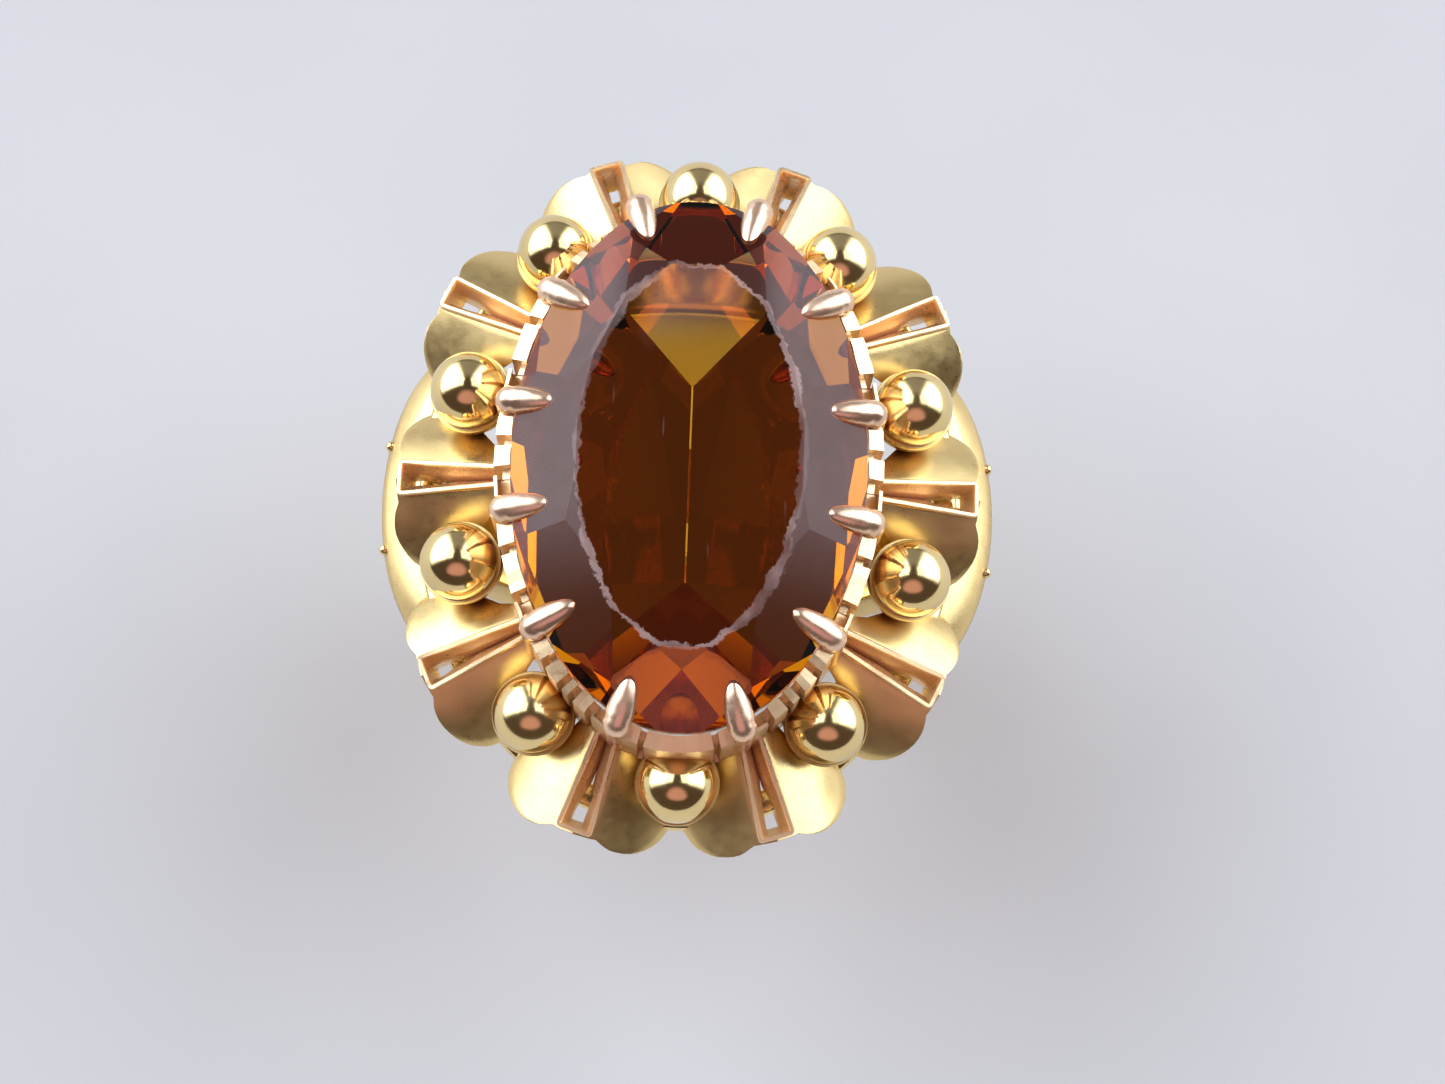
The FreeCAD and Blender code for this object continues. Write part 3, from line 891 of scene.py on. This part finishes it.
def makeShoulder(name, node, side):
    s = shoulders
    spread = [math.sin(mix(-pi / 2, pi / 2, j / s["across"])) for j in range(s["across"] + 1)]

    def plan(y):
        # the oval seen from above, as a share of the reach
        return math.sqrt(max(0.0, 1 - (y / s["plan"]) ** 2))

    rings = []
    for k in range(s["levels"] + 1):
        t = k / s["levels"]
        z = mix(s["low"], s["top"], t)
        wide = mix(s["narrow"], s["wide"], t ** 1.5)
        out = shoulderOut(z)
        thick = mix(s["footThick"], s["thick"], smoothStep(0, 0.3, t))
        ring = []
        for share in spread:
            y = wide * share
            edge = s["roundOff"] * abs(share) ** 6
            ring.append(Vector((side * (out * plan(y) - edge), y, z)))
        for share in spread[-2:0:-1]:
            y = s["inner"] * wide * share
            ring.append(Vector((side * (out * plan(y) - thick), y, z)))
        rings.append(ring)
    points, faces = loft(rings)
    addPiece(name, points, faces, satinGold, 50, [node])


makeShoulder("shoulderRight", "shoulder_right", 1)
makeShoulder("shoulderLeft", "shoulder_left", -1)


granules = dict(radius=0.22, out=11.86, aside=2.1, z=8.5, steps=20, rows=12)


def makeGranules():
    g = granules
    ball, quads = lathe(arc(g["radius"], pi / 2, -pi / 2, g["rows"]), g["steps"])
    points, faces = [], []
    for flipX in (-1, 1):
        for flipY in (-1, 1):
            start = len(points)
            centre = Vector((flipX * g["out"], flipY * g["aside"], g["z"]))
            points += [centre + p for p in ball]
            faces += [tuple(start + i for i in quad) for quad in quads]
    addPiece("shoulderGranules", points, faces, polishedGold, 60,
             ["shoulder_granules"])


makeGranules()
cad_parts["lower_collet_rail"].data.materials.clear()
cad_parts["lower_collet_rail"].data.materials.append(polishedGold)
print("band and shoulders made")


# floor, light and camera; a pair of edges is where a light starts and where it is full,
# as the height or sideways share of a direction, and tent, warm and overTint are colours
studio = dict(
    floor=(0.58, 0.56, 0.53), floorZ=-10.1, floorReach=1.5, backdrop=(0.62, 0.63, 0.65),
    # an oval dark card overhead, narrower where it is not seen by way of the stone
    card=(0.56, 0.52), cardShift=-0.10, cardSlim=0.22, cardEdge=(0.95, 1.10),
    polishFade=0.65, topFade=0.45,
    # the tent is dark in front, nearly dark straight behind and dimmer low down
    tent=(0.80, 0.89, 1.04), leftPower=4.4, rightPower=3.6, openFront=(-0.28, 0.05),
    backGap=(0.30, 0.62), backDim=0.06, lowEdge=(0.0, 0.17), lowDim=0.16,
    overTop=(0.78, 0.87), overPower=1.15, overTint=(0.66, 0.86, 1.25), dim=(0.085, 0.062, 0.053),
    warmCard=(0.0, -0.70, 0.714), warm=(0.62, 0.33, 0.40), warmEdge=(0.83, 0.95),
    warmFoot=(0.48, 0.64), warmPower=0.85,
    flashes=((0.374, -0.013, 0.927), (-0.374, -0.013, 0.927)), flashEdge=(0.9935, 0.998),
    flashPower=0.9,
)


def makeFloor():
    r = studio["floorReach"]
    mesh = bpy.data.meshes.new("paleFloor")
    mesh.from_pydata([(-r, -r, 0), (r, -r, 0), (r, r, 0), (-r, r, 0)], [], [(0, 1, 2, 3)])
    ground = bpy.data.objects.new("paleFloor", mesh)
    ground.location.z = studio["floorZ"] * mm
    bpy.context.scene.collection.objects.link(ground)
    tree = Tree(bpy.data.materials.new("paleFloor"))
    soft = tree.grain(tree.place(), 40, 3)
    paler = tuple(c * 1.04 for c in studio["floor"])
    colour = tree.blend(tree.step(soft, 0.3, 0.7), studio["floor"], paler)
    shader = tree.node("ShaderNodeBsdfPrincipled", None, {"Base Color": colour, "Roughness": 0.7})
    mesh.materials.append(tree.finish(shader))


def makeTent():
    # a soft tent of light: bright at the sides and behind, open to the front
    world = bpy.data.worlds.new("studio")
    bpy.context.scene.world = world
    tree = Tree(world)

    def light(colour, power):
        return tree.node("ShaderNodeBackground", None, {"Color": (*colour, 1), "Strength": power})

    def together(a, b):
        return tree.node("ShaderNodeAddShader", None, [a, b])

    def towards(direction, edges):
        facing = tree.node("ShaderNodeVectorMath", {"operation": "DOT_PRODUCT"},
                           [ray, direction], "Value")
        return tree.step(facing, *edges)

    s = studio
    ray = tree.node("ShaderNodeTexCoord", output="Generated")
    x, y, z = tree.axes(ray)
    # light that comes by way of the stone, light that its polish mirrors, and what the camera sees
    through = tree.node("ShaderNodeLightPath", output="Is Transmission Ray")
    mirrored = tree.node("ShaderNodeLightPath", output="Is Singular Ray") * (1 - through)
    seen = tree.node("ShaderNodeLightPath", output="Is Camera Ray")

    cardX = x / (s["cardSlim"] + through * (s["card"][0] - s["cardSlim"]))
    cardY = (y - s["cardShift"]) / s["card"][1]
    clearOfCard = tree.step((cardX * cardX + cardY * cardY).maths("SQRT"), *s["cardEdge"])
    flat = (x * x + y * y + 0.0001).maths("SQRT")
    opened = tree.step(y / flat, *s["openFront"]) * clearOfCard
    aside = tree.step((x / flat).maths("ABSOLUTE"), *s["backGap"], s["backDim"], 1.0)
    low = tree.step(z, *s["lowEdge"], s["lowDim"], 1.0)
    side = tree.step(x, -0.3, 0.3, s["leftPower"], s["rightPower"])
    high = tree.step(z, *s["overTop"])
    power = opened * aside * low * side
    power = power * (1 - high * (s["topFade"] + through * (1 - s["topFade"])))
    power = power * (1 - mirrored * s["polishFade"])
    overhead = opened * high * through * s["overPower"]
    for flash in s["flashes"]:
        overhead = overhead + towards(flash, s["flashEdge"]) * through * s["flashPower"]
    warmLight = towards(s["warmCard"], s["warmEdge"]) * tree.step(z, *s["warmFoot"]) * s["warmPower"]

    tentLight = together(light(s["tent"], power), light(s["overTint"], overhead))
    lit = together(together(tentLight, light(s["warm"], warmLight)), light(s["dim"], 1.0))
    shown = tree.node("ShaderNodeMixShader", None, [seen, lit, light(s["backdrop"], 1.0)])
    tree.node("ShaderNodeOutputWorld", None, [shown], None)


makeFloor()
makeTent()


# the eye is in mm, the turns are in degrees and the lens is in mm on a 36 mm sensor
view = dict(eye=(-0.03, -21.92, 100.91), tilt=-12.6, pan=0.9, roll=-2.0, lens=59.7, sensor=36)


def makeCamera():
    camera = bpy.data.cameras.new("camera")
    camera.lens = view["lens"]
    camera.sensor_width = view["sensor"]
    camera.clip_start = 0.001
    holder = bpy.data.objects.new("camera", camera)
    turn = (Matrix.Rotation(deg(view["roll"]), 4, "Z") @ Matrix.Rotation(deg(view["tilt"]), 4, "X")
            @ Matrix.Rotation(deg(view["pan"]), 4, "Y"))
    holder.matrix_world = Matrix.Translation(Vector(view["eye"]) * mm) @ turn.inverted()
    bpy.context.scene.collection.objects.link(holder)
    bpy.context.scene.camera = holder


makeCamera()
bpy.context.scene.view_settings.view_transform = "Standard"
print("studio lit")
